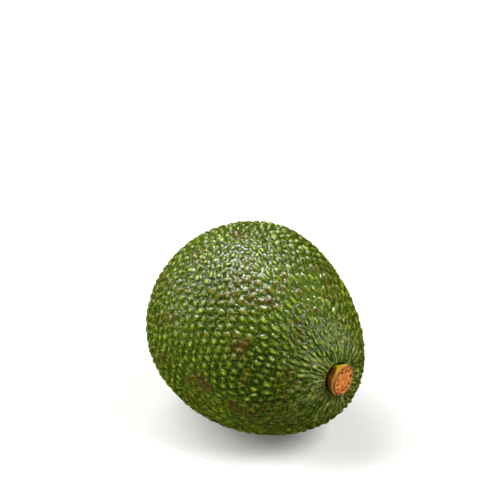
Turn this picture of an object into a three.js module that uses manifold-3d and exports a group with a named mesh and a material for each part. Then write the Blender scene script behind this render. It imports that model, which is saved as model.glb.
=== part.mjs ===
// A whole avocado as picked, lying on its side.
// Millimetres, +Z up. The long axis lies over X with the stem end towards +X,
// and the fruit rests at z = 0 on a small flat spot under its weight.

import * as THREE from "three";
import { ConvexHull } from "three/addons/math/ConvexHull.js";
import { mergeVertices } from "three/addons/utils/BufferGeometryUtils.js";
import Module from "manifold-3d";

// Form of the fruit: an egg drawn from a unit direction (see formPoint).
const HALF_LENGTH = 38.9;
const GIRTH_RADIUS = 33.3;
const TAPER = 0.155;
const END_FULLNESS = 0.068;

// Slow swells that keep the egg from being perfect: their height, how fast each runs along
// two axes, and where it starts.
const SWELL_HEIGHT = 0.2;
const BROAD_SWELL = { alongX: 4.1, alongY: 3.3, start: 1.2 };
const NARROW_SWELL = { alongZ: 5.2, alongY: -4.4, start: 0.4 };

// How it lies: the narrow stem end dips, which puts the weight over the flat spot.
const DIP_ANGLE = 12.4;
const FLAT_SPOT_DEPTH = 0.8;
const PRESSED_RADIUS = 8;
const PRESSED_FLAT = 0.85;
const LARGEST_TILT = 30;
const TILT_STEP = 0.5;

// Stem: where it leaves the form, seen from the centre, and where it points when the fruit lies.
const STEM_OFF_AXIS = 14.8;
const STEM_ROUND_AXIS = 76;
const STEM_SIDEWAYS = 10.4;
const STEM_UPWARDS = 1.8;
const DIMPLE_DEPTH = 1.2;
const DIMPLE_RADIUS = 8;

// Scar at the blossom end.
const SCAR_DEPTH = 0.9;
const SCAR_RADIUS = 3.2;

// Pebbled skin: domes with valleys between them, drawn out into ridges towards the stem.
const PEBBLE_COUNT = 1700;
const PEBBLE_HEIGHT = 0.85;
const PEBBLE_HEIGHT_SPREAD = 0.35;
const PEBBLE_JITTER = 0.28;
const RIDGE_CROWDING = 0.95;
const RIDGE_REACH = 0.62;

// Stem button, along its own axis from the skin's undimpled surface.
const BUTTON_RADIUS = 5.4;
const BUTTON_TOP = 2.2;
const BUTTON_BOTTOM = -3;
const BUTTON_SEGMENTS = 40;
const SOCKET_GAP = 0.3;

// Side of the button: share of its radius and height, from just above the root to its widest line.
const SIDE_ROOT = [0.55, BUTTON_BOTTOM + 0.2];
const SIDE_OUTLINE = [
  [0.8, -1.9],
  [0.9, -0.9],
  [0.96, 0.2],
  [1, 1.1],
];

// Rim of the button: share of its radius and depth below its top, from its widest line inwards.
const RIM_OUTLINE = [
  [0.985, 0.55],
  [0.93, 0.12],
  [0.86, 0],
  [0.77, 0.06],
];

// Lobes of the button's outline, as shares of its radius, and where they fade out on its side.
const TWO_LOBES = 0.035;
const THREE_LOBES = 0.02;
const LOBE_WAIST = 0.03;
const LOBES_FROM = -0.9;
const LOBES_FULL = 0.6;

// Cut face: a ring of pits, and a raised ring round the sunken pith.
const PIT_COUNT = 10;
const PIT_RING_RADIUS = 3.45;
const PIT_RING_WIDTH = 0.45;
const PIT_DEPTH = 0.4;
const PIT_SWAY = 0.8;
const PITH_RING_RADIUS = 1.3;
const PITH_RING_WIDTH = 0.4;
const PITH_RING_HEIGHT = 0.18;
const FACE_SINK = 0.08;
const PITH_SINK = 0.25;

const GOLDEN_ANGLE = Math.PI * (3 - Math.sqrt(5));
const SEED = 20;

// Seeded random numbers from 0 to 1.
function randomSource(seed) {
  let state = seed;
  return () => {
    state = (state + 0x6d2b79f5) | 0;
    let mixed = Math.imul(state ^ (state >>> 15), 1 | state);
    mixed = (mixed + Math.imul(mixed ^ (mixed >>> 7), 61 | mixed)) ^ mixed;
    return ((mixed ^ (mixed >>> 14)) >>> 0) / 4294967296;
  };
}

const radians = THREE.MathUtils.degToRad;

// Direction from the fruit's centre to the stem, in the form's own axes, before it dips.
const stemDirection = new THREE.Vector3(
  Math.cos(radians(STEM_OFF_AXIS)),
  Math.sin(radians(STEM_OFF_AXIS)) * Math.cos(radians(STEM_ROUND_AXIS)),
  Math.sin(radians(STEM_OFF_AXIS)) * Math.sin(radians(STEM_ROUND_AXIS)),
);

// Direction the stem points in once the fruit lies dipped.
const stemAxis = new THREE.Vector3(
  Math.cos(radians(STEM_UPWARDS)) * Math.cos(radians(STEM_SIDEWAYS)),
  Math.cos(radians(STEM_UPWARDS)) * Math.sin(radians(STEM_SIDEWAYS)),
  Math.sin(radians(STEM_UPWARDS)),
);

const scarDirection = new THREE.Vector3(-1, 0, 0);
const dip = new THREE.Quaternion().setFromAxisAngle(new THREE.Vector3(0, 1, 0), radians(DIP_ANGLE));
const poleToStem = new THREE.Quaternion().setFromUnitVectors(new THREE.Vector3(0, 0, 1), stemDirection);

// Point of the smooth egg for a unit direction.
function formPoint(direction) {
  const along = direction.x;
  const radius = GIRTH_RADIUS * (1 - TAPER * along + END_FULLNESS * along * along);
  return new THREE.Vector3(HALF_LENGTH * along, radius * direction.y, radius * direction.z);
}

// Outward normal of the smooth egg, from two nearby points.
function formNormal(direction) {
  const step = 0.001;
  const sideways = new THREE.Vector3(0.36, -0.48, 0.8).cross(direction).normalize();
  const onwards = new THREE.Vector3().crossVectors(direction, sideways);
  const here = formPoint(direction);
  const beside = formPoint(direction.clone().addScaledVector(sideways, step).normalize());
  const ahead = formPoint(direction.clone().addScaledVector(onwards, step).normalize());
  return beside.sub(here).cross(ahead.sub(here)).normalize();
}

// Bell-shaped value of a given depth and radius round a point of the form.
function bellAt(point, centreDirection, depth, radius) {
  const distance = point.distanceTo(formPoint(centreDirection));
  return depth * Math.exp(-((distance / radius) ** 2));
}

// Height of the slow swells for a unit direction.
function swellAt({ x, y, z }) {
  const broad = Math.sin(BROAD_SWELL.alongX * x + BROAD_SWELL.alongY * y + BROAD_SWELL.start);
  const narrow = Math.sin(NARROW_SWELL.alongZ * z + NARROW_SWELL.alongY * y + NARROW_SWELL.start);
  return SWELL_HEIGHT * (broad + narrow);
}

// Direction of the point that the form lies on once it has dipped.
function restingDirection() {
  let lowest = null;
  let lowestHeight = Infinity;
  for (let tilt = -LARGEST_TILT; tilt <= LARGEST_TILT; tilt += TILT_STEP) {
    const direction = new THREE.Vector3(Math.sin(radians(tilt)), 0, -Math.cos(radians(tilt)));
    const height = formPoint(direction).applyQuaternion(dip).z;
    if (height < lowestHeight) {
      lowest = direction;
      lowestHeight = height;
    }
  }
  return lowest;
}

const restDirection = restingDirection();

// Share of its height that a pebble keeps: those under the fruit's weight are pressed flat.
function keptHeight(direction) {
  return 1 - bellAt(formPoint(direction), restDirection, PRESSED_FLAT, PRESSED_RADIUS);
}

// Skin point for a unit direction and a height above the valleys between pebbles.
function skinPoint(direction, height) {
  const point = formPoint(direction);
  const hollows =
    bellAt(point, stemDirection, DIMPLE_DEPTH, DIMPLE_RADIUS) +
    bellAt(point, scarDirection, SCAR_DEPTH, SCAR_RADIUS);
  return point.addScaledVector(formNormal(direction), height + swellAt(direction) - hollows);
}

// Draws a lattice direction in towards the stem, so that round cells become radial ridges there.
function drawTowardsStem(latticeDirection) {
  const polar = Math.acos(THREE.MathUtils.clamp(latticeDirection.z, -1, 1));
  const drawn = polar * (1 - RIDGE_CROWDING * Math.exp(-((polar / RIDGE_REACH) ** 2)));
  const around = Math.atan2(latticeDirection.y, latticeDirection.x);
  const ring = Math.sin(drawn);
  const direction = new THREE.Vector3(ring * Math.cos(around), ring * Math.sin(around), Math.cos(drawn));
  return direction.applyQuaternion(poleToStem);
}

// Jittered spiral lattice of pebble centres on a unit sphere, its pole at the stem.
function pebbleLattice(random) {
  const spacing = Math.sqrt((4 * Math.PI) / PEBBLE_COUNT);
  const centres = [];
  for (let index = 0; index < PEBBLE_COUNT; index += 1) {
    const height = 1 - (2 * (index + 0.5)) / PEBBLE_COUNT;
    const ring = Math.sqrt(1 - height * height);
    const turn = index * GOLDEN_ANGLE;
    const centre = new THREE.Vector3(ring * Math.cos(turn), ring * Math.sin(turn), height);
    const push = new THREE.Vector3(random() - 0.5, random() - 0.5, random() - 0.5);
    centres.push(centre.addScaledVector(push, 2 * PEBBLE_JITTER * spacing).normalize());
  }
  return centres;
}

// Triangles between neighbouring pebble centres, counter-clockwise from outside.
function neighbourTriangles(centres) {
  const numberOf = new Map(centres.map((centre, index) => [centre, index]));
  const hull = new ConvexHull().setFromPoints(centres);
  return hull.faces.map((face) => {
    const first = face.edge;
    return [first, first.next, first.next.next].map((edge) => numberOf.get(edge.head().point));
  });
}

// Pebbled skin as a closed mesh: each pebble is a low dome, a fan from its raised centre
// to the valley points around it, which stand where three pebbles meet.
function pebbledSkin(random) {
  const centres = pebbleLattice(random);
  const triangles = neighbourTriangles(centres);
  const positions = [];
  for (const centre of centres) {
    const direction = drawTowardsStem(centre);
    const fullHeight = PEBBLE_HEIGHT * (1 + PEBBLE_HEIGHT_SPREAD * (2 * random() - 1));
    positions.push(...skinPoint(direction, fullHeight * keptHeight(direction)).toArray());
  }
  const faceOfEdge = new Map();
  triangles.forEach((corners, face) => {
    const valley = new THREE.Vector3();
    corners.forEach((corner, side) => {
      valley.add(centres[corner]);
      faceOfEdge.set(`${corner} ${corners[(side + 1) % 3]}`, face);
    });
    positions.push(...skinPoint(drawTowardsStem(valley.normalize()), 0).toArray());
  });
  const indices = [];
  for (const [edge, face] of faceOfEdge) {
    const [from, to] = edge.split(" ").map(Number);
    const facing = faceOfEdge.get(`${to} ${from}`);
    indices.push(from, centres.length + facing, centres.length + face);
  }
  const geometry = new THREE.BufferGeometry();
  geometry.setAttribute("position", new THREE.Float32BufferAttribute(positions, 3));
  geometry.setIndex(indices);
  return geometry.applyQuaternion(dip);
}

// Side of the button, or of the socket that leaves a gap round it: radius and height from the root.
function buttonSide(gap) {
  const [rootShare, rootHeight] = SIDE_ROOT;
  const root = [
    [0, BUTTON_BOTTOM - gap],
    [rootShare * BUTTON_RADIUS, rootHeight - gap],
  ];
  return [...root, ...SIDE_OUTLINE.map(([share, height]) => [share * BUTTON_RADIUS + gap, height])];
}

// Rim and cut face of the button, from its widest line in to the centre.
function buttonFace() {
  const rim = RIM_OUTLINE.map(([share, depth]) => [share * BUTTON_RADIUS, BUTTON_TOP - depth]);
  const face = [
    PIT_RING_RADIUS + PIT_RING_WIDTH / 2,
    PIT_RING_RADIUS - PIT_RING_WIDTH / 2,
    PIT_RING_RADIUS - 2 * PIT_RING_WIDTH,
    PITH_RING_RADIUS + 1.5 * PITH_RING_WIDTH,
    PITH_RING_RADIUS,
  ].map((radius) => [radius, BUTTON_TOP - FACE_SINK]);
  const pith = [
    [PITH_RING_RADIUS - 1.5 * PITH_RING_WIDTH, BUTTON_TOP - PITH_SINK],
    [0, BUTTON_TOP - PITH_SINK],
  ];
  return [...rim, ...face, ...pith];
}

// Closed body of revolution on the Y axis, with its shared vertices merged.
function turned(profile, segments) {
  const points = profile.map(([radius, height]) => new THREE.Vector2(radius, height));
  const geometry = new THREE.LatheGeometry(points, segments);
  geometry.deleteAttribute("normal");
  geometry.deleteAttribute("uv");
  return mergeVertices(geometry, 0.0001);
}

// Ring-shaped value, 1 on a given radius and falling off over a width.
function ringAt(radius, ringRadius, width) {
  return Math.exp(-(((radius - ringRadius) / width) ** 2));
}

// Depth of the pits, less the height of the ring round the pith, for a place on the cut face.
function faceRelief(radius, turn) {
  const pits = Math.max(0, Math.cos(PIT_COUNT * turn + PIT_SWAY * Math.sin(3 * turn)));
  const pithRing = 1 + 0.5 * Math.sin(5 * turn);
  return (
    PIT_DEPTH * pits * ringAt(radius, PIT_RING_RADIUS, PIT_RING_WIDTH) -
    PITH_RING_HEIGHT * pithRing * ringAt(radius, PITH_RING_RADIUS, PITH_RING_WIDTH)
  );
}

// Stem button: lobed, with a bevelled rim, and on its cut face a ring of pits round the pith.
function stemButton() {
  const geometry = turned([...buttonSide(0), ...buttonFace()], BUTTON_SEGMENTS);
  const position = geometry.attributes.position;
  const lowestFace = BUTTON_TOP - 2 * PITH_SINK;
  const point = new THREE.Vector3();
  for (let index = 0; index < position.count; index += 1) {
    point.fromBufferAttribute(position, index);
    const radius = Math.hypot(point.x, point.z);
    const turn = Math.atan2(point.z, point.x);
    const lobes = TWO_LOBES * Math.cos(2 * turn + 1) + THREE_LOBES * Math.cos(3 * turn) - LOBE_WAIST;
    const scale = 1 + lobes * THREE.MathUtils.smoothstep(point.y, LOBES_FROM, LOBES_FULL);
    const relief = point.y > lowestFace ? faceRelief(radius, turn) : 0;
    position.setXYZ(index, point.x * scale, point.y - relief, point.z * scale);
  }
  return geometry;
}

// Cutter for the socket: the button's side with a gap, open upwards past the skin.
function socketCutter() {
  const side = buttonSide(SOCKET_GAP);
  const [widest] = side[side.length - 1];
  return turned([...side, [widest, BUTTON_TOP + 2], [0, BUTTON_TOP + 2]], BUTTON_SEGMENTS);
}

// Puts a piece drawn on the Y axis where the stem leaves the fruit.
function placeOnStem(geometry) {
  const foot = formPoint(stemDirection).applyQuaternion(dip);
  const lean = new THREE.Quaternion().setFromUnitVectors(new THREE.Vector3(0, 1, 0), stemAxis);
  return geometry.applyQuaternion(lean).translate(foot.x, foot.y, foot.z);
}

const wasm = await Module();
wasm.setup();

// Solid of a closed indexed geometry.
function solidOf(geometry) {
  const mesh = new wasm.Mesh({
    numProp: 3,
    vertProperties: Float32Array.from(geometry.attributes.position.array),
    triVerts: Uint32Array.from(geometry.index.array),
  });
  return new wasm.Manifold(mesh);
}

// Geometry of a solid.
function geometryOf(solid) {
  const mesh = solid.getMesh();
  const geometry = new THREE.BufferGeometry();
  geometry.setAttribute("position", new THREE.BufferAttribute(mesh.vertProperties, 3));
  geometry.setIndex(new THREE.BufferAttribute(mesh.triVerts, 1));
  geometry.computeVertexNormals();
  return geometry;
}

// Block below the resting plane, which trims the flat spot.
function floorBlock(height) {
  const size = 4 * HALF_LENGTH;
  const block = new THREE.BoxGeometry(size, size, size);
  block.deleteAttribute("normal");
  block.deleteAttribute("uv");
  return mergeVertices(block.translate(0, 0, height - size / 2));
}

// Fruit: pebbled skin, socket for the stem button and flat spot, all one body.
function fruitBody(random) {
  const skin = pebbledSkin(random);
  skin.computeBoundingBox();
  const restingHeight = skin.boundingBox.min.z + FLAT_SPOT_DEPTH;
  const solid = solidOf(skin)
    .subtract(solidOf(placeOnStem(socketCutter())))
    .subtract(solidOf(floorBlock(restingHeight)));
  return geometryOf(solid);
}

// One named, coloured piece.
function piece(name, geometry, color, roughness) {
  const material = new THREE.MeshStandardMaterial({ color, roughness, metalness: 0 });
  const mesh = new THREE.Mesh(geometry, material);
  mesh.name = name;
  return mesh;
}

// Whole avocado, standing on z = 0 with its outline centred on the Z axis.
function avocado() {
  const fruit = piece("fruit", fruitBody(randomSource(SEED)), 0x4c6e1e, 0.45);
  const button = piece("stem_button", placeOnStem(stemButton()), 0xb9783f, 0.8);
  const group = new THREE.Group();
  group.add(fruit, button);
  const box = new THREE.Box3().setFromObject(group, true);
  const centre = box.getCenter(new THREE.Vector3());
  group.position.set(-centre.x, -centre.y, -box.min.z);
  return group;
}

export default avocado();
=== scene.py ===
"""Looks of a whole avocado lying on its side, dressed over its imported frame."""

from __future__ import annotations

import logging
import math
from dataclasses import dataclass, field
from enum import Enum

import bpy
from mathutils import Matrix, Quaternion, Vector, noise

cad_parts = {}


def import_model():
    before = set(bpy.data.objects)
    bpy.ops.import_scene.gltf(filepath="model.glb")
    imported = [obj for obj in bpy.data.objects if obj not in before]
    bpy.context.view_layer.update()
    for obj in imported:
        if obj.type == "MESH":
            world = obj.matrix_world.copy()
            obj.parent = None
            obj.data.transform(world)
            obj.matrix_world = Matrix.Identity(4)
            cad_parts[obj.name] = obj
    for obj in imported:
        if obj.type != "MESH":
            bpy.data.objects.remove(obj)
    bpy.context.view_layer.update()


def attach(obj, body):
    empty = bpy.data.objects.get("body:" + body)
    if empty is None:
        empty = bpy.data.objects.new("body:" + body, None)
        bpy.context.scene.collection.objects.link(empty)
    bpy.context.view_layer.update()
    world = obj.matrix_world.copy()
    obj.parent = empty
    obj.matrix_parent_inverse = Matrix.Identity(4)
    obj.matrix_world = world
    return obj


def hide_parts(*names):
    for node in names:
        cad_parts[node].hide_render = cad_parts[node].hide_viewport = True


MM = 0.001

Colour = tuple[float, float, float, float]
Triple = tuple[float, float, float]
Socket = bpy.types.NodeSocket
Feeds = dict[str | int, object]

log = logging.getLogger("avocado")


class Node(Enum):
    """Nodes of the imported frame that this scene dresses."""

    FRUIT = "fruit"
    STEM_BUTTON = "stem_button"


class SkinMark(Enum):
    """Attributes that the skin's shape hands on to its finish."""

    DOME = "dome"
    TONE = "pebble_tone"
    STEM_NEARNESS = "stem_nearness"
    SCAR_NEARNESS = "scar_nearness"


class StemMark(Enum):
    """Attributes that the stem button's shape hands on to its finish."""

    CUT = "cut_face"
    RIM = "rim"
    PIT = "pit"
    # Painted highlight along the outer edge of the bevel.
    EDGE = "painted_edge_highlight"
    BASE = "base"


def smooth_step(value: float, low: float, high: float) -> float:
    """Ease from 0 at low to 1 at high.

    Args:
        value: Where to read the step.
        low: Last place where it is 0.
        high: First place where it is 1.

    Returns:
        A number from 0 to 1.
    """
    share = min(max((value - low) / (high - low), 0.0), 1.0)
    return share * share * (3 - 2 * share)


def bell(value: float, width: float) -> float:
    """Bell curve of a number: 1 at zero, falling off over a width."""
    return math.exp(-((value / width) ** 2))


@dataclass(frozen=True)
class Field:
    """A value that flows through a node tree, with the usual arithmetic."""

    tree: "TreeMaker"
    socket: Socket

    def __add__(self, other: "Field | float") -> "Field":
        """Sum of two numbers."""
        return self.tree.maths("ADD", self, other)

    def __radd__(self, other: float) -> "Field":
        """Sum with a plain number on the left."""
        return self.tree.maths("ADD", other, self)

    def __sub__(self, other: "Field | float") -> "Field":
        """Difference of two numbers."""
        return self.tree.maths("SUBTRACT", self, other)

    def __rsub__(self, other: float) -> "Field":
        """Difference from a plain number on the left."""
        return self.tree.maths("SUBTRACT", other, self)

    def __mul__(self, other: "Field | float") -> "Field":
        """Product of two numbers."""
        return self.tree.maths("MULTIPLY", self, other)

    def __rmul__(self, other: float) -> "Field":
        """Product with a plain number on the left."""
        return self.tree.maths("MULTIPLY", other, self)

    def __truediv__(self, other: "Field | float") -> "Field":
        """Quotient of two numbers."""
        return self.tree.maths("DIVIDE", self, other)


@dataclass(frozen=True)
class Grain:
    """Noise texture: cells for each unit of length, octaves of finer noise, and their strength."""

    scale: float
    detail: float
    roughness: float


class TreeMaker:
    """Builds a node tree, for geometry or for a shader, from plain expressions."""

    def __init__(self, tree: bpy.types.NodeTree) -> None:
        """Work on an empty tree."""
        self.tree = tree

    def feed(self, socket: Socket, value: object) -> None:
        """Link a field to an input socket, or set the socket's own value.

        Args:
            socket: Input to feed.
            value: Field, socket or plain value.
        """
        if isinstance(value, Field):
            self.tree.links.new(value.socket, socket)
        elif isinstance(value, Socket):
            self.tree.links.new(value, socket)
        else:
            socket.default_value = value

    def node(self, kind: str, feeds: Feeds | None = None, **settings: object) -> bpy.types.Node:
        """Add a node.

        Args:
            kind: Blender's name for the node type.
            feeds: What goes into its inputs, if anything does.
            settings: Properties to set on it.

        Returns:
            The new node.
        """
        made = self.tree.nodes.new(kind)
        for name, value in settings.items():
            setattr(made, name, value)
        for key, value in (feeds or {}).items():
            self.feed(made.inputs[key], value)
        return made

    def step(self, kind: str, feeds: Feeds | None = None, **settings: object) -> Socket:
        """First output of a new node."""
        return self.node(kind, feeds, **settings).outputs[0]

    def maths(self, operation: str, *values: "Field | float") -> Field:
        """Number arithmetic: an operation's name and what it works on, in order."""
        return Field(self, self.step("ShaderNodeMath", dict(enumerate(values)), operation=operation))

    def vector(self, operation: str, *values: object) -> Field:
        """Vector arithmetic.

        Args:
            operation: Name of the operation.
            values: What it works on, in order; a number after SCALE is the scale.

        Returns:
            The result, a number for LENGTH, DISTANCE and DOT_PRODUCT.
        """
        places = (0, "Scale") if operation == "SCALE" else range(len(values))
        made = self.node("ShaderNodeVectorMath", dict(zip(places, values)), operation=operation)
        number = operation in ("LENGTH", "DISTANCE", "DOT_PRODUCT")
        return Field(self, made.outputs["Value" if number else "Vector"])

    def parts(self, vector: Field) -> tuple[Field, Field, Field]:
        """The x, y and z of a vector."""
        made = self.node("ShaderNodeSeparateXYZ", {0: vector})
        return tuple(Field(self, output) for output in made.outputs)

    def joined(self, x: "Field | float", y: "Field | float", z: "Field | float") -> Field:
        """A vector from its x, y and z."""
        return Field(self, self.step("ShaderNodeCombineXYZ", {0: x, 1: y, 2: z}))

    def eased(self, value: Field, low: float, high: float, first: float = 0.0, last: float = 1.0) -> Field:
        """Ease a number from one range to another.

        Args:
            value: Number to read.
            low: Start of the range that is read.
            high: End of that range.
            first: Result at low and before.
            last: Result at high and beyond.

        Returns:
            The eased number.
        """
        feeds = {"Value": value, "From Min": low, "From Max": high, "To Min": first, "To Max": last}
        made = self.node("ShaderNodeMapRange", feeds, interpolation_type="SMOOTHSTEP")
        return Field(self, made.outputs["Result"])

    def bell(self, value: Field, width: "Field | float") -> Field:
        """Bell curve of a number: 1 at zero, falling off over a width."""
        share = value / width
        return self.maths("EXPONENT", -1.0 * (share * share))

    def blended(self, share: object, first: object, second: object) -> Field:
        """Mix two colours.

        Args:
            share: How much of the second colour shows.
            first: Colour at share 0.
            second: Colour at share 1.

        Returns:
            The mixed colour.
        """
        feeds = {0: share, 6: first, 7: second}
        mixed = self.node("ShaderNodeMix", feeds, data_type="RGBA", clamp_factor=True)
        return Field(self, mixed.outputs[2])


class Paint(TreeMaker):
    """Material and the maker of its shader tree."""

    def __init__(self, name: str) -> None:
        """Start a material with an empty shader tree.

        Args:
            name: The material's name.
        """
        self.material = bpy.data.materials.new(name)
        self.material.use_nodes = True
        self.material.node_tree.nodes.clear()
        super().__init__(self.material.node_tree)
        self.where = Field(self, self.node("ShaderNodeTexCoord").outputs["Object"])

    def noise(self, grain: Grain, where: Field | None = None) -> Field:
        """Noise from 0 to 1, at the object's own coordinates or at a vector."""
        feeds = {"Scale": grain.scale, "Detail": grain.detail, "Roughness": grain.roughness}
        return Field(self, self.step("ShaderNodeTexNoise", {"Vector": where or self.where, **feeds}))

    def mark(self, name: Enum) -> Field:
        """Number that a piece's shape stored under a name, for its finish to read."""
        return Field(self, self.node("ShaderNodeAttribute", attribute_name=name.value).outputs["Fac"])

    def bump(self, height: Field, strength: float, distance: float) -> Socket:
        """Normal of a surface that a height between 0 and 1 roughens."""
        return self.step("ShaderNodeBump", {"Strength": strength, "Distance": distance, "Height": height})

    def covered(self, feeds: Feeds) -> bpy.types.Material:
        """Close the tree with a surface that these feeds go into, and return the material."""
        self.node("ShaderNodeOutputMaterial", {"Surface": self.step("ShaderNodeBsdfPrincipled", feeds)})
        return self.material


@dataclass(frozen=True)
class Fullness:
    """Place where the fruit swells a little past its egg form, in millimetres."""

    direction: Triple
    height: float
    reach: float


@dataclass(frozen=True)
class FruitForm:
    """Egg form of the fruit and where it lies, in millimetres and degrees, as the frame has it."""

    half_length: float = 39.0
    girth_radius: float = 33.4
    taper: float = 0.155
    end_fullness: float = 0.068
    undulation: float = 0.2
    dip_angle: float = 12.4
    centre: Triple = (-0.861, 0.003, 32.518)
    stem_off_axis: float = 14.8
    stem_round_axis: float = 76.0
    stem_sideways: float = 10.4
    stem_upwards: float = 1.8
    dimple_depth: float = 1.2
    dimple_radius: float = 8.0
    scar_depth: float = 0.9
    scar_radius: float = 3.2
    ridge_crowding: float = 0.95
    ridge_reach: float = 0.62
    largest_tilt: float = 30.0
    tilt_step: float = 0.5
    fuller_places: tuple[Fullness, ...] = (
        Fullness((0.85, 0.45, -0.27), 1.0, 18.0),
        Fullness((0.06, -0.71, -0.70), 0.75, 13.0),
    )

    def stem_direction(self) -> Vector:
        """Direction from the form's centre to the stem, before it dips."""
        off, turn = math.radians(self.stem_off_axis), math.radians(self.stem_round_axis)
        return Vector((math.cos(off), math.sin(off) * math.cos(turn), math.sin(off) * math.sin(turn)))

    def stem_axis(self) -> Vector:
        """Direction the stem points in as the fruit lies."""
        up, side = math.radians(self.stem_upwards), math.radians(self.stem_sideways)
        return Vector((math.cos(up) * math.cos(side), math.cos(up) * math.sin(side), math.sin(up)))

    def dip(self) -> Quaternion:
        """Turn that lets the stem end down."""
        return Quaternion((0, 1, 0), math.radians(self.dip_angle))

    def point(self, direction: Vector) -> Vector:
        """Point of the egg before it dips.

        Args:
            direction: Unit vector from the form's centre.

        Returns:
            The point, in millimetres from the form's centre.
        """
        along = direction.x
        radius = self.girth_radius * (1 - self.taper * along + self.end_fullness * along * along)
        return Vector((self.half_length * along, radius * direction.y, radius * direction.z))

    def rest_direction(self) -> Vector:
        """Direction of the point that the egg lies on once it has dipped.

        Returns:
            The unit vector from the form's centre, before the dip, found by trying tilts in turn.
        """
        steps = round(self.largest_tilt / self.tilt_step)
        angles = [math.radians(self.tilt_step * step) for step in range(-steps, steps + 1)]
        directions = [Vector((math.sin(angle), 0, -math.cos(angle))) for angle in angles]
        return min(directions, key=lambda direction: (self.dip() @ self.point(direction)).z)

    def stem_foot(self) -> Vector:
        """Where the stem leaves the egg as it lies, in metres."""
        return (self.dip() @ self.point(self.stem_direction()) + Vector(self.centre)) * MM

    def stem_point(self) -> Triple:
        """Where the stem leaves the egg before it dips, in metres from the form's centre."""
        return tuple(self.point(self.stem_direction()) * MM)

    def scar_point(self) -> Triple:
        """Where the blossom was, before the dip, in metres from the form's centre."""
        return (-self.half_length * MM, 0.0, 0.0)


@dataclass(frozen=True)
class SkinPattern:
    """Fields from 0 to 1 that the skin's colours and heights are mixed by."""

    dome: Field
    tone: Field
    broad: Field
    patches: Field
    mottle: Field
    fine: Field
    grains: Field
    ridges: Field
    ridged: Field


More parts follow.
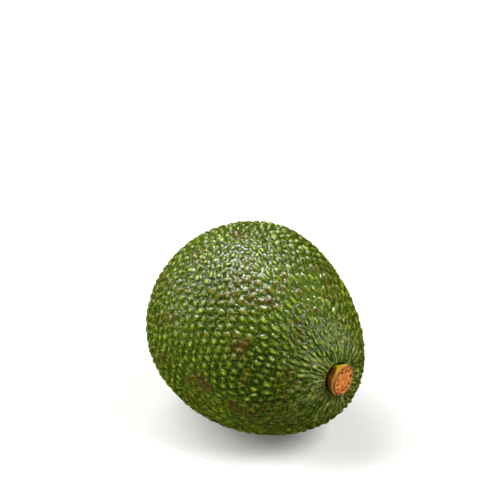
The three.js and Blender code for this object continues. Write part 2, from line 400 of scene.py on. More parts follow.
@dataclass(frozen=True)
class SkinFinish:
    """Waxy green skin with paler pebble tips, corky dots and a few brown scuffs, with painted shade in the
    valleys, the furrows and the socket round the stem and painted sheen on the ridges by the stem.
    """

    form: FruitForm
    # Dark greens of the ground between the pebbles, darker than the pebbles' sides partly as painted shade
    # in the valleys.
    valley_green_and_shade: Colour = (0.013, 0.031, 0.0010, 1.0)
    pale_valley_green_and_shade: Colour = (0.042, 0.082, 0.002, 1.0)
    flank: Colour = (0.068, 0.118, 0.002, 1.0)
    flank_pale: Colour = (0.150, 0.205, 0.004, 1.0)
    tip: Colour = (0.560, 0.560, 0.070, 1.0)
    fleck: Colour = (0.240, 0.300, 0.030, 1.0)
    cork: Colour = (0.070, 0.021, 0.006, 1.0)
    # Pale sage brightened as painted sheen on the ridges by the stem, and dark green deepened as painted
    # shade in their furrows.
    ridge_sage_and_sheen: Colour = (0.300, 0.370, 0.090, 1.0)
    furrow_green_and_shade: Colour = (0.012, 0.034, 0.003, 1.0)
    # Near black painted shade for the socket round the stem button.
    socket_shade: Colour = (0.010, 0.014, 0.002, 1.0)
    broad: Grain = Grain(45.0, 3.0, 0.55)
    patches: Grain = Grain(110.0, 4.0, 0.6)
    mottle: Grain = Grain(520.0, 2.0, 0.6)
    fine: Grain = Grain(1300.0, 3.0, 0.6)
    wrinkle: Grain = Grain(1.0, 3.0, 0.55)
    speck_scale: float = 900.0
    ridge_count: float = 14.0
    ridge_change: float = 170.0
    fleck_share: float = 0.38
    shade_share: float = 0.50
    streak_share: float = 0.60
    browned_share: float = 0.45
    dotted_share: float = 0.85
    scuffed_share: float = 0.65
    scar_share: float = 0.8
    roughness: float = 0.38
    gloss: float = 0.08
    gloss_tint: Colour = (0.9, 1.0, 0.75, 1.0)
    refraction: float = 1.45
    wax: float = 0.56
    wax_roughness: float = 0.12
    wax_bump: float = 0.4
    skin_bump: float = 0.75
    bump_distance: float = 0.00016

    def wrinkles(self, make: Paint) -> tuple[Field, Field]:
        """Fine ridges that run in towards the stem.

        Args:
            make: Maker of the shader tree.

        Returns:
            The ridges' height from 0 to 1, and how strongly they show.
        """
        axis = tuple(self.form.stem_axis())
        away = make.vector("SUBTRACT", make.where, tuple(self.form.stem_foot()))
        along = make.vector("DOT_PRODUCT", away, axis)
        outward = make.vector("SUBTRACT", away, make.vector("SCALE", axis, along))
        distance = make.vector("LENGTH", outward)
        around = make.vector("SCALE", make.vector("NORMALIZE", outward), self.ridge_count)
        onward = make.vector("SCALE", axis, distance * self.ridge_change)
        wave = make.noise(self.wrinkle, make.vector("ADD", around, onward))
        facing = make.eased(along, -24.0 * MM, -8.0 * MM)
        return make.eased(wave, 0.46, 0.64), make.eased(distance, 23.0 * MM, 6.0 * MM) * facing

    def pattern(self, make: Paint) -> SkinPattern:
        """Read the marks and textures that the skin is mixed by.

        Args:
            make: Maker of the shader tree.

        Returns:
            The fields.
        """
        dome = make.mark(SkinMark.DOME)
        feeds = {"Vector": make.where, "Scale": self.speck_scale}
        speck = make.node("ShaderNodeTexVoronoi", feeds, feature="F1").outputs["Distance"]
        ridges, ridged = self.wrinkles(make)
        return SkinPattern(
            dome=dome,
            tone=make.mark(SkinMark.TONE),
            broad=make.noise(self.broad),
            patches=make.noise(self.patches),
            mottle=make.noise(self.mottle),
            fine=make.noise(self.fine),
            grains=make.eased(Field(make, speck), 0.50, 0.15) * (1 - dome),
            ridges=ridges,
            ridged=ridged,
        )

    def green(self, make: Paint, pattern: SkinPattern) -> Field:
        """Sound green skin: valleys darker partly as painted shade, paler pebbles, flecks, and streaks
        round the stem of painted sheen on the ridges and painted shade in the furrows.

        Args:
            make: Maker of the shader tree.
            pattern: Fields to mix by.

        Returns:
            The colour.
        """
        broad, patches, fine = pattern.broad, pattern.patches, pattern.fine
        paler = make.eased(broad + 0.3 * pattern.mottle, 0.55, 0.9)
        ground = make.blended(paler, self.valley_green_and_shade, self.pale_valley_green_and_shade)
        grains = pattern.grains * make.eased(patches, 0.3, 0.6, 0.2, 0.9)
        ground = make.blended(grains, ground, self.flank_pale)
        lit = make.eased(pattern.tone * 0.3 + broad * 0.5 + fine * 0.7, 0.50, 1.05)
        sides = make.blended(lit, self.flank, self.flank_pale)
        # Darker towards the foot of each pebble: the skin's own dark green, deepened as painted shade in
        # the valleys.
        skin = make.blended(make.eased(pattern.dome, 0.20, 0.85), ground, sides)
        skin = make.blended(make.eased(fine, 0.52, 0.66) * self.fleck_share, skin, self.fleck)
        skin = make.blended(make.eased(fine, 0.48, 0.36) * self.shade_share, skin, self.valley_green_and_shade)
        # Painted sheen on the ridge crests and painted shade in the furrows round the stem, over their own
        # sage and green.
        streaks = make.blended(pattern.ridges, self.furrow_green_and_shade, self.ridge_sage_and_sheen)
        skin = make.blended(pattern.ridged * self.streak_share, skin, streaks)
        crown = make.eased(pattern.dome + 0.35 * (pattern.mottle - 0.5), 0.82, 1.04)
        tips = crown * make.eased(pattern.tone * 0.8 + patches, 0.50, 1.15, 0.15, 0.95)
        return make.blended(tips, skin, self.tip)

    def corky(self, make: Paint, pattern: SkinPattern, skin: Field, scuffed: Field) -> Field:
        """Turn pebbles brown, dot their tips with cork, and scuff the skin in patches.

        Args:
            make: Maker of the shader tree.
            pattern: Fields to mix by.
            skin: Colour of the sound skin.
            scuffed: Where the skin is scuffed, from 0 to 1.

        Returns:
            The colour, with the scar at the blossom end and painted shade in the socket round the stem.
        """
        dome, patches = pattern.dome, pattern.patches
        browned = make.eased(patches + 0.5 * (pattern.fine - 0.5), 0.46, 0.62) * make.eased(dome, 0.2, 0.7)
        skin = make.blended(browned * self.browned_share, skin, self.cork)
        chosen = make.eased(pattern.tone * 0.35 + patches * 0.8 + pattern.broad * 0.5, 0.78, 0.92)
        dotted = make.eased(dome + 0.5 * (pattern.mottle - 0.5), 0.86, 0.97) * chosen
        skin = make.blended(dotted * self.dotted_share, skin, self.cork)
        skin = make.blended(scuffed * self.scuffed_share, skin, self.cork)
        scarred = make.eased(make.mark(SkinMark.SCAR_NEARNESS), 0.5, 0.95)
        skin = make.blended(scarred * self.scar_share, skin, self.cork)
        # Painted shade: near black in the socket round the stem button.
        return make.blended(make.eased(make.mark(SkinMark.STEM_NEARNESS), 0.75, 1.0), skin, self.socket_shade)

    def material(self) -> bpy.types.Material:
        """Build the skin's material.

        Returns:
            The material, green under a thin coat of wax.
        """
        make = Paint("pebbled_skin")
        pattern = self.pattern(make)
        mottle = pattern.mottle
        scuffed = make.eased(pattern.patches + 0.6 * (mottle - 0.5), 0.56, 0.68)
        scuffed = scuffed * make.eased(pattern.broad, 0.44, 0.56)
        furrows = pattern.ridges * pattern.ridged
        height = 1.8 * pattern.fine + 1.0 * mottle + 1.8 * pattern.grains + 2.6 * furrows
        return make.covered(
            {
                "Base Color": self.corky(make, pattern, self.green(make, pattern), scuffed),
                "Roughness": self.roughness + 0.25 * (mottle - 0.5) + 0.2 * scuffed,
                "Normal": make.bump(height, self.skin_bump, self.bump_distance),
                "IOR": self.refraction,
                "Specular IOR Level": self.gloss,
                "Specular Tint": self.gloss_tint,
                "Coat Weight": self.wax,
                "Coat Roughness": self.wax_roughness,
                "Coat Normal": make.bump(height, self.wax_bump, self.bump_distance),
            }
        )


class MeshMaker(TreeMaker):
    """Tree maker with the steps that the skin's geometry tree repeats."""

    def here(self) -> Field:
        """Where each point is."""
        return Field(self, self.step("GeometryNodeInputPosition"))

    def distance(self, place: Triple) -> Field:
        """How far each point is from a place."""
        return self.vector("DISTANCE", self.here(), place)

    def corners(self) -> Field:
        """How many corners each face has."""
        return Field(self, self.node("GeometryNodeInputMeshFaceNeighbors").outputs["Vertex Count"])

    def chance(self, seed: int) -> Field:
        """Random number from 0 to 1 for each face."""
        made = self.node("FunctionNodeRandomValue", {"Seed": seed}, data_type="FLOAT")
        return Field(self, made.outputs[1])

    def on_points(self, value: Field) -> Field:
        """Mean of a face value over the faces round each point."""
        faces = self.step("GeometryNodeFieldOnDomain", {0: value}, data_type="FLOAT", domain="FACE")
        return Field(self, faces)

    def named(self, name: SkinMark) -> Field:
        """Read back a number stored on the mesh's points."""
        stored = self.step("GeometryNodeInputNamedAttribute", {"Name": name.value}, data_type="FLOAT")
        return Field(self, stored)

    def kept(self, mesh: object, name: SkinMark, value: object, chosen: object = True) -> Socket:
        """Store a number on the mesh's points, or on the chosen ones, under a name."""
        feeds = {"Geometry": mesh, "Selection": chosen, "Name": name.value, "Value": value}
        return self.step("GeometryNodeStoreNamedAttribute", feeds, data_type="FLOAT", domain="POINT")

    def moved(self, mesh: object, **feeds: Field) -> Socket:
        """Set each point's Position, or shift it by an Offset."""
        return self.step("GeometryNodeSetPosition", {"Geometry": mesh, **feeds})

    def rounded(self, mesh: object) -> Socket:
        """Push a mesh's points out to the unit sphere."""
        return self.moved(mesh, Position=self.vector("NORMALIZE", self.here()))


@dataclass
class FruitSkin:
    """Pebbled skin of the fruit, grown by a geometry node tree over the egg form."""

    form: FruitForm
    pebble_spacing: float = 0.0716
    pebble_seed: int = 7
    pebble_height: float = 0.58
    pebble_share: float = 0.80
    pebble_spread: float = 0.40
    tone_seed: int = 3
    size_seed: int = 5
    bump_seed: int = 9
    densest: float = 5000.0
    ball_cuts: int = 6
    most_net_corners: float = 7.0
    rings: tuple[tuple[float, float], ...] = ((0.74, 0.58), (0.62, 0.88), (0.45, 1.0))
    bump_chance: float = 0.2
    bump_ring: tuple[float, float] = (0.5, 0.35)
    jostle_scale: float = 17.0
    jostle: tuple[float, float] = (0.02, 0.045)
    socket_radius: float = 4.9
    socket_depth: float = 1.5
    pressed_radius: float = 8.0
    nub_height: float = 0.7
    nub_radius: float = 0.9
    make: MeshMaker = field(init=False)
    inputs: dict[str, Field] = field(default_factory=dict, init=False)

    def sizes(self) -> dict[str, float | int]:
        """Value of each of the tree's inputs, lengths over the fruit in metres."""
        return {
            "Pebble Spacing": self.pebble_spacing,
            "Pebble Height": self.pebble_height * MM,
            "Pebble Share": self.pebble_share,
            "Pebble Spread": self.pebble_spread,
            "Ridge Crowding": self.form.ridge_crowding,
            "Ridge Reach": self.form.ridge_reach,
            "Pebble Seed": self.pebble_seed,
        }

    def cells(self) -> Socket:
        """Unit sphere cut into a round face for each pebble and small faces for the net between.

        Returns:
            Socket with the cells' mesh.
        """
        make = self.make
        ball = make.step("GeometryNodeMeshIcoSphere", {"Radius": 1.0, "Subdivisions": self.ball_cuts})
        feeds = {
            "Mesh": ball,
            "Distance Min": self.inputs["Pebble Spacing"],
            "Density Max": self.densest,
            "Seed": self.inputs["Pebble Seed"],
        }
        points = make.step("GeometryNodeDistributePointsOnFaces", feeds, distribute_method="POISSON")
        hull = make.step("GeometryNodeConvexHull", {"Geometry": make.rounded(points)})
        fanned = make.step("GeometryNodeSubdivideMesh", {"Mesh": hull, "Level": 1})
        slivers = make.step("GeometryNodeTriangulate", {"Mesh": fanned}, quad_method="FIXED")
        return make.step("GeometryNodeDualMesh", {"Mesh": slivers})

    def ring(self, mesh: object, chosen: object, share: float, height: float) -> tuple[Socket, Socket]:
        """Cut a smaller copy of each chosen face into it and note how high it stands.

        Args:
            mesh: Socket with the mesh.
            chosen: Field or socket that says which faces.
            share: Size of the inner face.
            height: Height of the inner face, as a share of its pebble's.

        Returns:
            The mesh's socket, and the one that says which faces are inner ones.
        """
        feeds = {"Mesh": mesh, "Selection": chosen, "Offset Scale": 0.0, "Individual": True}
        inset = self.make.node("GeometryNodeExtrudeMesh", feeds, mode="FACES")
        inner = inset.outputs["Top"]
        feeds = {"Geometry": inset.outputs["Mesh"], "Selection": inner, "Scale": share}
        scaled = self.make.step("GeometryNodeScaleElements", feeds, domain="FACE")
        return self.make.kept(scaled, SkinMark.DOME, height, inner), inner

    def pebbled(self, mesh: object) -> Socket:
        """Cut the pebbles' shoulders and crowns into the cells, and low bumps into the net.

        Args:
            mesh: Socket with the cells' mesh.

        Returns:
            Socket with the mesh, marked with heights and tones.
        """
        make = self.make
        corners = make.corners()
        is_pebble = make.maths("GREATER_THAN", corners, self.most_net_corners)
        tone = make.on_points(is_pebble * make.chance(self.tone_seed)) / make.on_points(is_pebble)
        mesh = make.kept(mesh, SkinMark.TONE, tone)
        mesh = make.kept(mesh, SkinMark.DOME, 0.0)
        spread, share = self.inputs["Pebble Spread"], self.inputs["Pebble Share"]
        size = make.maths("MULTIPLY_ADD", make.chance(self.size_seed), spread, share)
        feeds = {"Geometry": mesh, "Selection": is_pebble, "Scale": size}
        mesh = make.step("GeometryNodeScaleElements", feeds, domain="FACE")
        is_hexagon = make.maths("COMPARE", corners, 6.0, 0.1)
        is_bump = is_hexagon * make.maths("LESS_THAN", make.chance(self.bump_seed), self.bump_chance)
        mesh, _ = self.ring(mesh, is_bump, *self.bump_ring)
        inner = make.maths("GREATER_THAN", make.corners(), self.most_net_corners)
        for share, height in self.rings:
            mesh, inner = self.ring(mesh, inner, share, height)
        return self.jostled(mesh)

    def jostled(self, mesh: object) -> Socket:
        """Push the pebbles out of line, their crowns more than their feet.

        Args:
            mesh: Socket with the mesh on the unit sphere.

        Returns:
            Socket with the mesh, still on the unit sphere.
        """
        make = self.make
        foot, crown = self.jostle
        feeds = {"Vector": make.here(), "Scale": self.jostle_scale, "Detail": 1.0}
        push = make.node("ShaderNodeTexNoise", feeds).outputs["Color"]
        centred = make.vector("SUBTRACT", push, (0.5,) * 3)
        strength = foot + crown * make.named(SkinMark.DOME)
        return make.rounded(make.moved(mesh, Offset=make.vector("SCALE", centred, strength)))

    def drawn_to_stem(self) -> tuple[Field, Field]:
        """Direction for each point of the unit sphere, drawn in towards the stem.

        Returns:
            The unit direction, and how much the cells are narrowed there.
        """
        make = self.make
        x, y, z = make.parts(make.here())
        polar = make.maths("ARCCOSINE", make.maths("MINIMUM", make.maths("MAXIMUM", z, -1.0), 1.0))
        pull = self.inputs["Ridge Crowding"] * make.bell(polar, self.inputs["Ridge Reach"])
        drawn = polar * (1 - pull)
        narrowed = make.maths("SINE", drawn) / make.maths("MAXIMUM", make.maths("SINE", polar), 1e-5)
        spun = make.joined(x * narrowed, y * narrowed, make.maths("COSINE", drawn))
        stemward = tuple(self.form.stem_direction())
        turn = make.step("FunctionNodeAlignRotationToVector", {"Vector": stemward}, axis="Z")
        turned = make.step("FunctionNodeRotateVector", {"Vector": spun, "Rotation": turn})
        return Field(make, turned), narrowed

    def egg(self, direction: Field) -> Field:
        """Point of the egg form.

        Args:
            direction: Unit vector from the form's centre.

        Returns:
            The point before the dip, in metres from the form's centre.
        """
        form = self.form
        along, across, upward = self.make.parts(direction)
        radius = form.girth_radius * MM * (1 - form.taper * along + form.end_fullness * (along * along))
        return self.make.joined(form.half_length * MM * along, radius * across, radius * upward)

    def domes(self, from_scar: Field, into_socket: Field) -> Field:
        """Height of the pebbles, lower near the stem, in the socket, at the scar and where it rests.

        Args:
            from_scar: Distance from the blossom scar.
            into_socket: How far inside the stem's socket a point is, from 0 to 1.

        Returns:
            The height in metres.
        """
        make = self.make
        dome, tone = make.named(SkinMark.DOME), make.named(SkinMark.TONE)
        tall = self.inputs["Pebble Height"] * (0.75 + 0.5 * tone)
        relief = dome * tall * make.eased(make.named(SkinMark.STEM_NEARNESS), 0.4, 1.0, 0.35, 1.0)
        rest_point = tuple(self.form.point(self.form.rest_direction()) * MM)
        pressed = 1 - 0.85 * make.bell(make.distance(rest_point), self.pressed_radius * MM)
        at_scar = make.bell(from_scar, 1.6 * MM)
        return relief * pressed * (1 - 0.8 * at_scar) * (1 - 0.8 * into_socket)

    def swells(self) -> Field:
        """Slow rise and fall of the whole form, with its fuller places.

        Returns:
            The height over the egg, in metres.
        """
        make, form = self.make, self.form
        x, y, z = make.parts(make.vector("SCALE", make.here(), 1 / (form.girth_radius * MM)))
        swells = form.undulation * MM * (
            make.maths("SINE", 4.1 * x + 3.3 * y + 1.2) + make.maths("SINE", 5.2 * z - 4.4 * y + 0.4)
        )
        for place in form.fuller_places:
            middle = tuple(form.point(Vector(place.direction).normalized()) * MM)
            swells = swells + place.height * MM * make.bell(make.distance(middle), place.reach * MM)
        return swells

    def raised(self, mesh: object) -> Socket:
        """Raise the pebbles and press in the stem's dimple, the socket and the blossom scar.

        Args:
            mesh: Socket with the mesh on the egg form.

        Returns:
            Socket with the mesh.
        """
        make, form = self.make, self.form
        normal = make.step("GeometryNodeInputNormal")
        from_stem = make.distance(form.stem_point())
        from_scar = make.distance(form.scar_point())
        lip, floor = (self.socket_radius + 0.5) * MM, (self.socket_radius - 0.9) * MM
        into_socket = make.eased(from_stem, lip, floor)
        hollows = (
            form.dimple_depth * MM * make.bell(from_stem, form.dimple_radius * MM)
            + form.scar_depth * MM * make.bell(from_scar, form.scar_radius * MM)
            + self.socket_depth * MM * into_socket
        )
        nub = self.nub_height * MM * make.bell(from_scar, self.nub_radius * MM)
        lift = self.domes(from_scar, into_socket) + self.swells() + nub - hollows
        return make.moved(mesh, Offset=make.vector("SCALE", normal, lift))

    def marked(self, mesh: object) -> Socket:
        """Store what the finish reads: how near the stem and the scar are.

        Args:
            mesh: Socket with the raised mesh, before the dip.

        Returns:
            Socket with the mesh.
        """
        make = self.make
        near_stem = make.eased(make.distance(self.form.stem_point()), 6.6 * MM, 5.2 * MM)
        mesh = make.kept(mesh, SkinMark.STEM_NEARNESS, near_stem)
        near_scar = make.bell(make.distance(self.form.scar_point()), 2.2 * MM)
        return make.kept(mesh, SkinMark.SCAR_NEARNESS, near_scar)

    def laid(self, mesh: object) -> Socket:
        """Dip the fruit, put it in its place and press its flat spot to the floor.

        Args:
            mesh: Socket with the mesh before the dip.

        Returns:
            Socket with the mesh as it lies.
        """
        make = self.make
        feeds = {
            "Geometry": mesh,
            "Translation": tuple(Vector(self.form.centre) * MM),
            "Rotation": (0.0, math.radians(self.form.dip_angle), 0.0),
        }
        mesh = make.step("GeometryNodeTransform", feeds)
        x, y, z = make.parts(make.here())
        return make.moved(mesh, Position=make.joined(x, y, make.maths("MAXIMUM", z, 0.0)))

    def grow(self) -> None:
        """Lay out the whole tree, from the pebbles' cells to the finished skin."""
        make = self.make
        mesh = self.pebbled(self.cells())
        direction, narrowed = self.drawn_to_stem()
        mesh = make.kept(mesh, SkinMark.STEM_NEARNESS, narrowed)
        mesh = make.moved(mesh, Position=self.egg(direction))
        mesh = self.laid(self.marked(self.raised(mesh)))
        mesh = make.step("GeometryNodeSetShadeSmooth", {"Geometry": mesh})
        mesh = make.step("GeometryNodeRealizeInstances", {"Geometry": mesh})
        feeds = {"Geometry": mesh, "Material": SkinFinish(self.form).material()}
        make.node("NodeGroupOutput", {0: make.step("GeometryNodeSetMaterial", feeds)})

    def build(self) -> bpy.types.Object:
        """Grow the skin.

        Returns:
            The skin, as a plain mesh object that rides on the frame.
        """
        tree = bpy.data.node_groups.new("pebbled_skin", "GeometryNodeTree")
        tree.interface.new_socket("Geometry", in_out="OUTPUT", socket_type="NodeSocketGeometry")
        kinds = {float: "NodeSocketFloat", int: "NodeSocketInt"}
        sockets = {
            name: tree.interface.new_socket(name, in_out="INPUT", socket_type=kinds[type(value)])
            for name, value in self.sizes().items()
        }
        self.make = MeshMaker(tree)
        source = self.make.node("NodeGroupInput")
        self.inputs = {name: Field(self.make, source.outputs[name]) for name in sockets}
        self.grow()

        carrier = bpy.data.objects.new("skin_carrier", bpy.data.meshes.new("skin_carrier"))
        bpy.context.scene.collection.objects.link(carrier)
        modifier = carrier.modifiers.new("pebbled_skin", "NODES")
        modifier.node_group = tree
        for name, value in self.sizes().items():
            modifier[sockets[name].identifier] = value
        depsgraph = bpy.context.evaluated_depsgraph_get()
        mesh = bpy.data.meshes.new_from_object(carrier.evaluated_get(depsgraph))
        mesh.name = "pebbled_skin"
        bpy.data.objects.remove(carrier)
        return settled(mesh, "pebbled_skin", Node.FRUIT)


def settled(mesh: bpy.types.Mesh, name: str, node: Node) -> bpy.types.Object:
    """Put a mesh in the scene as a piece of the fruit.

    Args:
        mesh: Mesh, in metres in the frame.
        name: Name of the new piece.
        node: Node of the frame that the piece replaces.

    Returns:
        The new piece, riding on the frame.
    """
    piece = bpy.data.objects.new(name, mesh)
    bpy.context.scene.collection.objects.link(piece)
    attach(piece, "root")
    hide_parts(node.value)
    return piece


@dataclass(frozen=True)
class StemFinish:
    """Cut stem: orange brown face with dark pits, red brown rim and an olive yellow side."""

    face: Colour = (0.27, 0.078, 0.014, 1.0)
    face_pale: Colour = (0.52, 0.20, 0.056, 1.0)
    pit: Colour = (0.070, 0.012, 0.003, 1.0)
    rim: Colour = (0.150, 0.042, 0.016, 1.0)
    rim_pale: Colour = (0.280, 0.115, 0.038, 1.0)
    side: Colour = (0.340, 0.230, 0.006, 1.0)
    side_warm: Colour = (0.150, 0.060, 0.002, 1.0)
    # Pale painted highlight along the button's outer edge.
    edge: Colour = (0.420, 0.230, 0.040, 1.0)
    base: Colour = (0.085, 0.028, 0.003, 1.0)
    broad: Grain = Grain(230.0, 2.0, 0.5)
    patches: Grain = Grain(300.0, 2.0, 0.5)
    grain: Grain = Grain(1000.0, 2.0, 0.6)
    edge_highlight_share: float = 0.8
    side_roughness: float = 0.55
    cut_roughness: float = 0.78
    gloss: float = 0.0
    bump: float = 0.8
    bump_distance: float = 0.00025

    def flank(self, make: Paint, patches: Field, grain: Field) -> Field:
        """Colour of the button's side, with a painted highlight along its outer edge.

        Args:
            make: Maker of the shader tree.
            patches: Noise that the brown patches follow.
            grain: Fine noise.

        Returns:
            The colour.
        """
        warm = make.eased(make.noise(self.broad) + 0.25 * (grain - 0.5), 0.40, 0.58)
        flank = make.blended(warm, self.side, self.side_warm)
        brown = make.eased(patches + 0.22 * make.mark(StemMark.BASE), 0.58, 0.72)
        flank = make.blended(brown, flank, self.base)
        return make.blended(make.mark(StemMark.EDGE) * self.edge_highlight_share, flank, self.edge)

    def material(self) -> bpy.types.Material:
        """Build the stem button's material.

        Returns:
            The material, dull and dry.
        """
        make = Paint("cut_stem")
        cut = make.mark(StemMark.CUT)
        patches, grain = make.noise(self.patches), make.noise(self.grain)
        bark = make.blended(make.eased(grain, 0.40, 0.65), self.rim, self.rim_pale)
        paler = make.eased(grain * 0.8 + patches * 0.35, 0.46, 0.68)
        face = make.blended(paler, self.face, self.face_pale)
        colour = make.blended(cut, self.flank(make, patches, grain), face)
        colour = make.blended(make.mark(StemMark.RIM), colour, bark)
        colour = make.blended(make.eased(make.mark(StemMark.PIT), 0.0, 0.75), colour, self.pit)
        return make.covered(
            {
                "Base Color": colour,
                "Roughness": make.eased(cut, 0.0, 1.0, self.side_roughness, self.cut_roughness),
                "Specular IOR Level": self.gloss,
                "Normal": make.bump(grain, self.bump, self.bump_distance),
            }
        )


@dataclass
class StemButton:
    """Stub of stem left in the fruit, with its bevelled rim and cut face, in millimetres."""

    form: FruitForm
    finish: StemFinish = field(default_factory=StemFinish)
    radius: float = 5.4
    top: float = 2.08
    bottom: float = -3.0
    segments: int = 120
    row_step: float = 0.16
    centre_radius: float = 0.02
    pit_count: int = 10
    pit_ring: float = 3.6
    pit_width: float = 0.42
    pit_depth: float = 0.45
    small_pit_ring: float = 0.35
    small_pit_width: float = 0.30
    pith_ring: float = 1.3
    pith_width: float = 0.4
    pith_height: float = 0.12
    lump: float = 0.15

    def profile(self) -> list[tuple[float, float]]:
        """Outline of the button.

        Returns:
            Radius and height of each row of points, from the root to the face's centre.
        """
        radius, top = self.radius, self.top
        outline = [
            (self.centre_radius, self.bottom),
            (0.55 * radius, self.bottom + 0.2),
            (0.80 * radius, -1.9),
            (0.90 * radius, -0.9),
            (0.96 * radius, 0.2),
            (radius, 1.1),
            (0.985 * radius, top - 0.55),
            (0.93 * radius, top - 0.12),
            (0.86 * radius, top),
            (0.77 * radius, top - 0.06),
            (self.centre_radius, top - 0.1),
        ]
        fine = []
        for (r0, h0), (r1, h1) in zip(outline, outline[1:]):
            steps = max(1, round(math.dist((r0, h0), (r1, h1)) / self.row_step))
            fine += [(r0 + (r1 - r0) * i / steps, h0 + (h1 - h0) * i / steps) for i in range(steps)]
        return fine + [outline[-1]]

    def lobe(self, turn: float) -> float:
        """Share by which the outline swells out round the button."""
        return 0.035 * math.cos(2 * turn + 1) + 0.02 * math.cos(3 * turn) - 0.03

    def pitted(self, radius: float, turn: float) -> float:
        """How deep the cut face is pitted: a ring of pits, and a few small ones round the pith.

        Args:
            radius: Distance from the button's axis in millimetres.
            turn: Angle round it.

        Returns:
            The depth, 1 in the middle of a pit of the ring.
        """
        sway = 0.35 * noise.noise(Vector((2.5 * math.cos(turn), 2.5 * math.sin(turn), 4.0)))
        outer = bell(radius - self.pit_ring - sway, self.pit_width)
        wave = math.cos(self.pit_count * turn + 1.2 * math.sin(3 * turn))
        inner = bell(radius - self.small_pit_ring * self.pit_ring + 0.6 * sway, self.small_pit_width)
        small = 0.55 + 0.45 * math.cos(4 * turn + 1.3 + 1.4 * math.sin(2 * turn))
        return outer * max(0.0, wave) ** 0.7 + 0.6 * inner * small

    def marks(self, radius: float, height: float, turn: float) -> dict[StemMark, float]:
        """What the finish reads at a place of the outline.

        Args:
            radius: Distance from the button's axis in millimetres.
            height: Height along it in millimetres.
            turn: Angle round it.

        Returns:
            A number for each mark, from 0 to 1.
        """
        top, share = self.top, radius / self.radius
        rough = 0.03 * noise.noise(Vector((3 * math.cos(turn), 3 * math.sin(turn), 1.0)))
        cut = smooth_step(height, top - 0.3, top - 0.12) * smooth_step(share, 0.95, 0.85)
        rim = smooth_step(share, 0.79 + rough, 0.83 + rough) * smooth_step(height, top - 0.7, top - 0.3)
        # Narrow pale band of painted highlight along the outer edge of the bevel.
        edge = bell(height - top + 0.75, 0.35) * smooth_step(share, 0.9, 0.96)
        return {
            StemMark.CUT: cut,
            StemMark.RIM: rim * (1 - 0.6 * edge),
            StemMark.PIT: cut * (1 - rim) * self.pitted(radius, turn),
            StemMark.EDGE: edge,
            StemMark.BASE: smooth_step(height, 0.9, -0.3),
        }

    def spot(self, radius: float, height: float, turn: float, pit: float, cut: float) -> Vector:
        """Point of the worked surface.

        Args:
            radius: Distance of the outline from the button's axis.
            height: Height of the outline along it.
            turn: Angle round it.
            pit: How deep the face is pitted there, as a share.
            cut: How much the place belongs to the cut face, from 0 to 1.

        Returns:
            The point, in millimetres on the button's own axes.
        """
        round_place = Vector((radius * math.cos(turn), height, radius * math.sin(turn)))
        lumps = self.lump * noise.noise(round_place * 0.55) * smooth_step(height, -1.5, 0.4)
        pith = self.pith_height * (cut * bell(radius - self.pith_ring, self.pith_width))
        grown = 1 + smooth_step(height, -0.9, 0.6) * self.lobe(turn) + lumps / self.radius
        lift = height - self.pit_depth * pit + pith * (1 + 0.5 * math.sin(5 * turn))
        lift -= 0.4 * abs(lumps) * cut
        return Vector((round_place.x * grown, lift, round_place.z * grown))

    def faces(self, rows: int) -> list[tuple[int, ...]]:
        """Faces between the rows of points, and one cap at each end.

        Args:
            rows: How many rows of points there are.

        Returns:
            The points' places in the list, for each face.
        """
        count = self.segments
        faces = []
        for row in range(rows - 1):
            for step in range(count):
                a, b = row * count + step, row * count + (step + 1) % count
                faces.append((a, a + count, b + count, b))
        faces.append(tuple(range(count)))
        faces.append(tuple(reversed(range((rows - 1) * count, rows * count))))
        return faces

    def build(self) -> bpy.types.Object:
        """Turn the outline round, work its lobes and pits, and set it in the fruit.

        Returns:
            The button, riding on the frame.
        """
        lean = Vector((0, 1, 0)).rotation_difference(self.form.stem_axis())
        foot = self.form.stem_foot()
        outline = self.profile()
        points: list[Vector] = []
        stored: dict[StemMark, list[float]] = {mark: [] for mark in StemMark}
        for radius, height in outline:
            for step in range(self.segments):
                turn = 2 * math.pi * step / self.segments
                marks = self.marks(radius, height, turn)
                place = self.spot(radius, height, turn, marks[StemMark.PIT], marks[StemMark.CUT])
                points.append(foot + (lean @ place) * MM)
                for mark, value in marks.items():
                    stored[mark].append(value)
        mesh = bpy.data.meshes.new("stem_button")
        mesh.from_pydata(points, [], self.faces(len(outline)))
        mesh.shade_smooth()
        for mark, values in stored.items():
            mesh.attributes.new(mark.value, "FLOAT", "POINT").data.foreach_set("value", values)
        mesh.materials.append(self.finish.material())
        return settled(mesh, "cut_stem_button", Node.STEM_BUTTON)


@dataclass(frozen=True)
class Lamp:
    """Square lamp that faces the fruit, and either lights it or only glints on its skin."""

    name: str
    power: float
    size: float
    place: Triple
    glints: bool = False

    def hang(self) -> bpy.types.Object:
        """Put the lamp in the scene, its power in watts and its measures in metres.

        Returns:
            The lamp.
        """
        light = bpy.data.lights.new(self.name, "AREA")
        light.shape = "SQUARE"
        light.size = self.size
        light.energy = self.power
        made = bpy.data.objects.new(self.name, light)
        made.location = self.place
        made.rotation_euler = Vector(self.place).to_track_quat("Z", "Y").to_euler()
        made.visible_glossy = self.glints
        made.visible_diffuse = not self.glints
        bpy.context.scene.collection.objects.link(made)
        return made


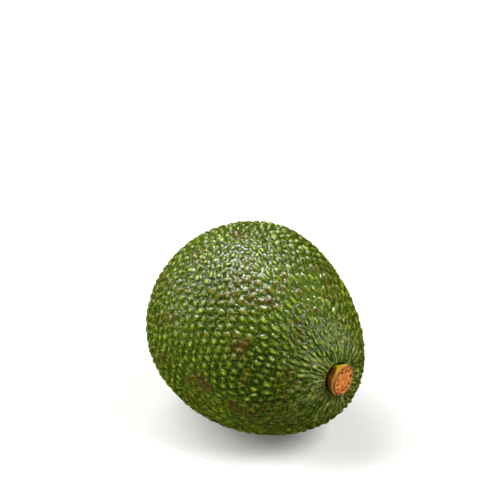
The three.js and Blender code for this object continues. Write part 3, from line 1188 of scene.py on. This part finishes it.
@dataclass(frozen=True)
class Studio:
    """Pale floor, soft lamps and the camera, aimed in millimetres."""

    target: Triple = (0.0, 0.0, 34.0)
    azimuth: float = 50.9
    elevation: float = 28.0
    distance: float = 800.0
    aim_right: float = -4.106
    aim_up: float = 27.27
    lens: float = 170.44
    lamps: tuple[Lamp, ...] = (
        Lamp("key", 16.0, 1.0, (-0.55, -0.30, 0.90)),
        Lamp("fill", 62.0, 1.3, (1.05, 0.9, 1.4)),
        Lamp("side", 20.0, 0.8, (-0.85, -0.95, 0.55)),
        Lamp("shine", 20.0, 0.42, (-0.23, 0.09, 0.91), glints=True),
        Lamp("left_shine", 8.0, 0.30, (-0.80, -0.80, 0.62), glints=True),
        Lamp("right_shine", 16.0, 0.42, (1.20, 0.75, 1.00), glints=True),
    )
    backdrop: float = 0.9
    floor_half: float = 1.2
    floor_colour: Colour = (0.60, 0.592, 0.583, 1.0)
    floor_roughness: float = 0.7
    floor_glow: float = 0.14
    glow_colour: Colour = (1.0, 0.97, 0.93, 1.0)

    def camera(self) -> bpy.types.Object:
        """Place the camera as the photograph has it.

        Returns:
            The camera.
        """
        turn, rise = math.radians(self.azimuth), math.radians(self.elevation)
        back = Vector((math.sin(turn) * math.cos(rise), -math.cos(turn) * math.cos(rise), math.sin(rise)))
        right = Vector((math.cos(turn), math.sin(turn), 0.0))
        up = back.cross(right)
        place = Vector(self.target) + self.distance * back + self.aim_right * right + self.aim_up * up
        lens = bpy.data.cameras.new("camera")
        lens.lens = self.lens
        lens.sensor_width = 36.0
        lens.clip_start = 0.01
        made = bpy.data.objects.new("camera", lens)
        made.location = place * MM
        made.rotation_euler = back.to_track_quat("Z", "Y").to_euler()
        bpy.context.scene.collection.objects.link(made)
        bpy.context.scene.camera = made
        return made

    def surroundings(self) -> None:
        """Put a pale backdrop behind the scene that sheds no light on it."""
        world = bpy.data.worlds.new("studio")
        world.use_nodes = True
        background = world.node_tree.nodes["Background"]
        background.inputs["Color"].default_value = (1.0, 1.0, 1.0, 1.0)
        background.inputs["Strength"].default_value = self.backdrop
        bpy.context.scene.world = world
        world.cycles_visibility.diffuse = False
        world.cycles_visibility.glossy = False
        bpy.context.scene.view_settings.view_transform = "Standard"

    def floor(self) -> bpy.types.Object:
        """Lay the pale floor.

        Returns:
            The floor, which belongs to the stage and not to the fruit.
        """
        half = self.floor_half
        corners = [(-half, -half, 0), (half, -half, 0), (half, half, 0), (-half, half, 0)]
        mesh = bpy.data.meshes.new("floor")
        mesh.from_pydata(corners, [], [(0, 1, 2, 3)])
        material = bpy.data.materials.new("floor")
        material.use_nodes = True
        surface = material.node_tree.nodes["Principled BSDF"]
        surface.inputs["Base Color"].default_value = self.floor_colour
        surface.inputs["Roughness"].default_value = self.floor_roughness
        surface.inputs["Emission Color"].default_value = self.glow_colour
        surface.inputs["Emission Strength"].default_value = self.floor_glow
        mesh.materials.append(material)
        made = bpy.data.objects.new("floor", mesh)
        bpy.context.scene.collection.objects.link(made)
        made.visible_glossy = False
        return made

    def build(self) -> None:
        """Set up camera, lamps, backdrop and floor."""
        self.camera()
        for lamp in self.lamps:
            lamp.hang()
        self.surroundings()
        self.floor()


def main() -> None:
    """Dress the frame as an avocado and report each piece."""
    logging.basicConfig(level=logging.INFO, format="%(message)s")
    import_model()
    form = FruitForm()
    Studio().build()
    skin = FruitSkin(form).build()
    button = StemButton(form).build()
    for piece in (skin, button):
        piece.data.calc_loop_triangles()
        log.info("%s: %d triangles", piece.name, len(piece.data.loop_triangles))


if __name__ == "__main__":
    main()
